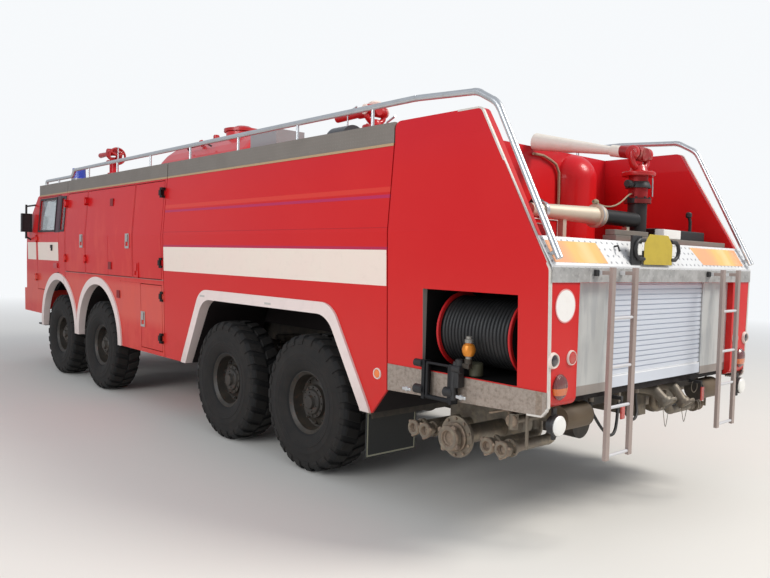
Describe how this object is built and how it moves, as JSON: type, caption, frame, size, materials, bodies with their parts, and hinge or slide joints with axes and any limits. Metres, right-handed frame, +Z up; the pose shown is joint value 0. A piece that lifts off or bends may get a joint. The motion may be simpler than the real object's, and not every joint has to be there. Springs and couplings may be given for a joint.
{
  "type": "airport fire truck",
  "caption": "Eight-wheeled airport crash tender: flush cab, side lockers, water tank body, roof monitors, hose reels and an open rear well between two wings.",
  "frame": {"origin": "on the ground, under the middle of the truck's overall box", "axes": "+X forward along the truck, +Y to its left side, +Z up"},
  "size_m": [11.3, 3.33, 3.714],
  "materials": {
    "tyre": "dusty tread rubber",
    "wheel_black": "black paint",
    "chassis_grey": "dirty dark paint",
    "body_red": "glossy red paint",
    "window_glass": "clear glass",
    "seat_fabric": "woven cloth",
    "trim_black": "matte",
    "tread_plate": "worn tread plate",
    "rail_aluminium": "bare tube",
    "monitor_red": "dark red paint",
    "plate_aluminium": "tread plate",
    "shutter_aluminium": "anodised slats",
    "reel_red": "red paint",
    "valve_metal": "dull metal",
    "arch_white": "white paint",
    "cable_rubber": "rubber sheath",
    "rope_cord": "braided cord",
    "lamp_red": "lamp lens"
  },
  "bodies": {
    "truck": {"chassis": "chassis_grey", "cab_shell": "body_red", "cab_glass": "window_glass", "cab_interior": "seat_fabric", "bumper": "body_red", "mirrors": "trim_black", "locker_body": "body_red", "tank_body": "body_red", "rear_body": "body_red", "kick_band": "tread_plate", "handrails": "rail_aluminium", "roof_fittings": "body_red", "rear_trim": "plate_aluminium", "shutter": "shutter_aluminium", "water_fittings": "valve_metal", "arches": "arch_white", "lamps": "lamp_red", "tail_cable": "cable_rubber", "well_rope": "rope_cord"},
    "knuckle_1l": {"knuckle_1l": "chassis_grey"},
    "wheel_1l": {"tyre_1l": "tyre", "wheel_1l": "wheel_black"},
    "knuckle_1r": {"knuckle_1r": "chassis_grey"},
    "wheel_1r": {"tyre_1r": "tyre", "wheel_1r": "wheel_black"},
    "knuckle_2l": {"knuckle_2l": "chassis_grey"},
    "wheel_2l": {"tyre_2l": "tyre", "wheel_2l": "wheel_black"},
    "knuckle_2r": {"knuckle_2r": "chassis_grey"},
    "wheel_2r": {"tyre_2r": "tyre", "wheel_2r": "wheel_black"},
    "wheel_3l": {"tyre_3l": "tyre", "wheel_3l": "wheel_black"},
    "wheel_3r": {"tyre_3r": "tyre", "wheel_3r": "wheel_black"},
    "wheel_4l": {"tyre_4l": "tyre", "wheel_4l": "wheel_black"},
    "wheel_4r": {"tyre_4r": "tyre", "wheel_4r": "wheel_black"},
    "cab_door_l": {"cab_door_l": "body_red", "door_glass_l": "window_glass"},
    "door_front_l": {"door_front_l": "body_red"},
    "door_middle_l": {"door_middle_l": "body_red"},
    "door_rear_l": {"door_rear_l": "body_red"},
    "door_lower_l": {"door_lower_l": "body_red"},
    "reel_l": {"reel_l": "reel_red"},
    "cab_door_r": {"cab_door_r": "body_red", "door_glass_r": "window_glass"},
    "door_front_r": {"door_front_r": "body_red"},
    "door_middle_r": {"door_middle_r": "body_red"},
    "door_rear_r": {"door_rear_r": "body_red"},
    "door_lower_r": {"door_lower_r": "body_red"},
    "reel_r": {"reel_r": "reel_red"},
    "monitor_front_head": {"monitor_front_head": "monitor_red"},
    "monitor_front_barrel": {"monitor_front_barrel": "monitor_red"},
    "monitor_mid_head": {"monitor_mid_head": "monitor_red"},
    "monitor_mid_barrel": {"monitor_mid_barrel": "monitor_red"},
    "monitor_rear_head": {"monitor_rear_head": "monitor_red"},
    "monitor_rear_barrel": {"monitor_rear_barrel": "monitor_red"},
    "hatch_lid": {"hatch_lid": "monitor_red"}
  },
  "joints": [
    {"name": "steer_1l", "type": "hinge", "parent": "truck", "child": "knuckle_1l", "pos_m": [3.74, 1.1805, 0.62], "axis": [0, 0, 1], "range_deg": [-30, 30]},
    {"name": "spin_1l", "type": "hinge", "parent": "knuckle_1l", "child": "wheel_1l", "pos_m": [3.74, 1.2625, 0.62], "axis": [0, 1, 0], "continuous": true},
    {"name": "steer_1r", "type": "hinge", "parent": "truck", "child": "knuckle_1r", "pos_m": [3.74, -1.1805, 0.62], "axis": [0, 0, 1], "range_deg": [-30, 30]},
    {"name": "spin_1r", "type": "hinge", "parent": "knuckle_1r", "child": "wheel_1r", "pos_m": [3.74, -1.2625, 0.62], "axis": [0, 1, 0], "continuous": true},
    {"name": "steer_2l", "type": "hinge", "parent": "truck", "child": "knuckle_2l", "pos_m": [2.09, 1.1805, 0.62], "axis": [0, 0, 1], "range_deg": [-21, 21]},
    {"name": "spin_2l", "type": "hinge", "parent": "knuckle_2l", "child": "wheel_2l", "pos_m": [2.09, 1.2625, 0.62], "axis": [0, 1, 0], "continuous": true},
    {"name": "steer_2r", "type": "hinge", "parent": "truck", "child": "knuckle_2r", "pos_m": [2.09, -1.1805, 0.62], "axis": [0, 0, 1], "range_deg": [-21, 21]},
    {"name": "spin_2r", "type": "hinge", "parent": "knuckle_2r", "child": "wheel_2r", "pos_m": [2.09, -1.2625, 0.62], "axis": [0, 1, 0], "continuous": true},
    {"name": "spin_3l", "type": "hinge", "parent": "truck", "child": "wheel_3l", "pos_m": [-1.41, 1.2625, 0.62], "axis": [0, 1, 0], "continuous": true},
    {"name": "spin_3r", "type": "hinge", "parent": "truck", "child": "wheel_3r", "pos_m": [-1.41, -1.2625, 0.62], "axis": [0, 1, 0], "continuous": true},
    {"name": "spin_4l", "type": "hinge", "parent": "truck", "child": "wheel_4l", "pos_m": [-2.86, 1.2625, 0.62], "axis": [0, 1, 0], "continuous": true},
    {"name": "spin_4r", "type": "hinge", "parent": "truck", "child": "wheel_4r", "pos_m": [-2.86, -1.2625, 0.62], "axis": [0, 1, 0], "continuous": true},
    {"name": "cab_door_l", "type": "hinge", "parent": "truck", "child": "cab_door_l", "pos_m": [4.785, 1.513, 2], "axis": [0, 0, -1], "range_deg": [0, 70]},
    {"name": "door_front_l", "type": "hinge", "parent": "truck", "child": "door_front_l", "pos_m": [3.378, 1.51, 2.2], "axis": [0, 0, -1], "range_deg": [0, 90]},
    {"name": "door_middle_l", "type": "hinge", "parent": "truck", "child": "door_middle_l", "pos_m": [2.525, 1.51, 2.2], "axis": [0, 0, -1], "range_deg": [0, 90]},
    {"name": "door_rear_l", "type": "hinge", "parent": "truck", "child": "door_rear_l", "pos_m": [0.02, 1.51, 2.2], "axis": [0, 0, 1], "range_deg": [0, 100]},
    {"name": "door_lower_l", "type": "hinge", "parent": "truck", "child": "door_lower_l", "pos_m": [0.02, 1.49, 1.17], "axis": [0, 0, 1], "range_deg": [0, 100]},
    {"name": "reel_spin_l", "type": "hinge", "parent": "truck", "child": "reel_l", "pos_m": [-4.8375, 1.15, 1.43], "axis": [1, 0, 0], "continuous": true},
    {"name": "cab_door_r", "type": "hinge", "parent": "truck", "child": "cab_door_r", "pos_m": [4.785, -1.513, 2], "axis": [0, 0, 1], "range_deg": [0, 70]},
    {"name": "door_front_r", "type": "hinge", "parent": "truck", "child": "door_front_r", "pos_m": [3.378, -1.51, 2.2], "axis": [0, 0, 1], "range_deg": [0, 90]},
    {"name": "door_middle_r", "type": "hinge", "parent": "truck", "child": "door_middle_r", "pos_m": [2.525, -1.51, 2.2], "axis": [0, 0, 1], "range_deg": [0, 90]},
    {"name": "door_rear_r", "type": "hinge", "parent": "truck", "child": "door_rear_r", "pos_m": [0.02, -1.51, 2.2], "axis": [0, 0, -1], "range_deg": [0, 100]},
    {"name": "door_lower_r", "type": "hinge", "parent": "truck", "child": "door_lower_r", "pos_m": [0.02, -1.49, 1.17], "axis": [0, 0, -1], "range_deg": [0, 100]},
    {"name": "reel_spin_r", "type": "hinge", "parent": "truck", "child": "reel_r", "pos_m": [-4.8375, -1.15, 1.43], "axis": [1, 0, 0], "continuous": true},
    {"name": "monitor_front_turn", "type": "hinge", "parent": "truck", "child": "monitor_front_head", "pos_m": [4.31, 0.4, 3.4543], "axis": [0, 0, 1], "range_deg": [-170, 170]},
    {"name": "monitor_front_tilt", "type": "hinge", "parent": "monitor_front_head", "child": "monitor_front_barrel", "pos_m": [4.31, 0.4, 3.6343], "axis": [0, -1, 0], "range_deg": [-15, 60]},
    {"name": "monitor_mid_turn", "type": "hinge", "parent": "truck", "child": "monitor_mid_head", "pos_m": [-2.54, 0.4, 3.2543], "axis": [0, 0, 1], "range_deg": [-170, 170]},
    {"name": "monitor_mid_tilt", "type": "hinge", "parent": "monitor_mid_head", "child": "monitor_mid_barrel", "pos_m": [-2.54, 0.4, 3.4343], "axis": [0, -1, 0], "range_deg": [-15, 60]},
    {"name": "monitor_rear_turn", "type": "hinge", "parent": "truck", "child": "monitor_rear_head", "pos_m": [-5.16, -0.15, 2.6553], "axis": [0, 0, 1], "range_deg": [-10, 100]},
    {"name": "monitor_rear_tilt", "type": "hinge", "parent": "monitor_rear_head", "child": "monitor_rear_barrel", "pos_m": [-5.16, -0.15, 2.8353], "axis": [0, -1, 0], "range_deg": [-20, 50]},
    {"name": "hatch_hinge", "type": "hinge", "parent": "truck", "child": "hatch_lid", "pos_m": [1.008, 0, 3.625], "axis": [0, 1, 0], "range_deg": [0, 100]}
  ],
  "couplings": [
    {"joint": "steer_1r", "follows": "steer_1l", "ratio": 1},
    {"joint": "steer_2l", "follows": "steer_1l", "ratio": 0.7},
    {"joint": "steer_2r", "follows": "steer_1l", "ratio": 0.7}
  ]
}
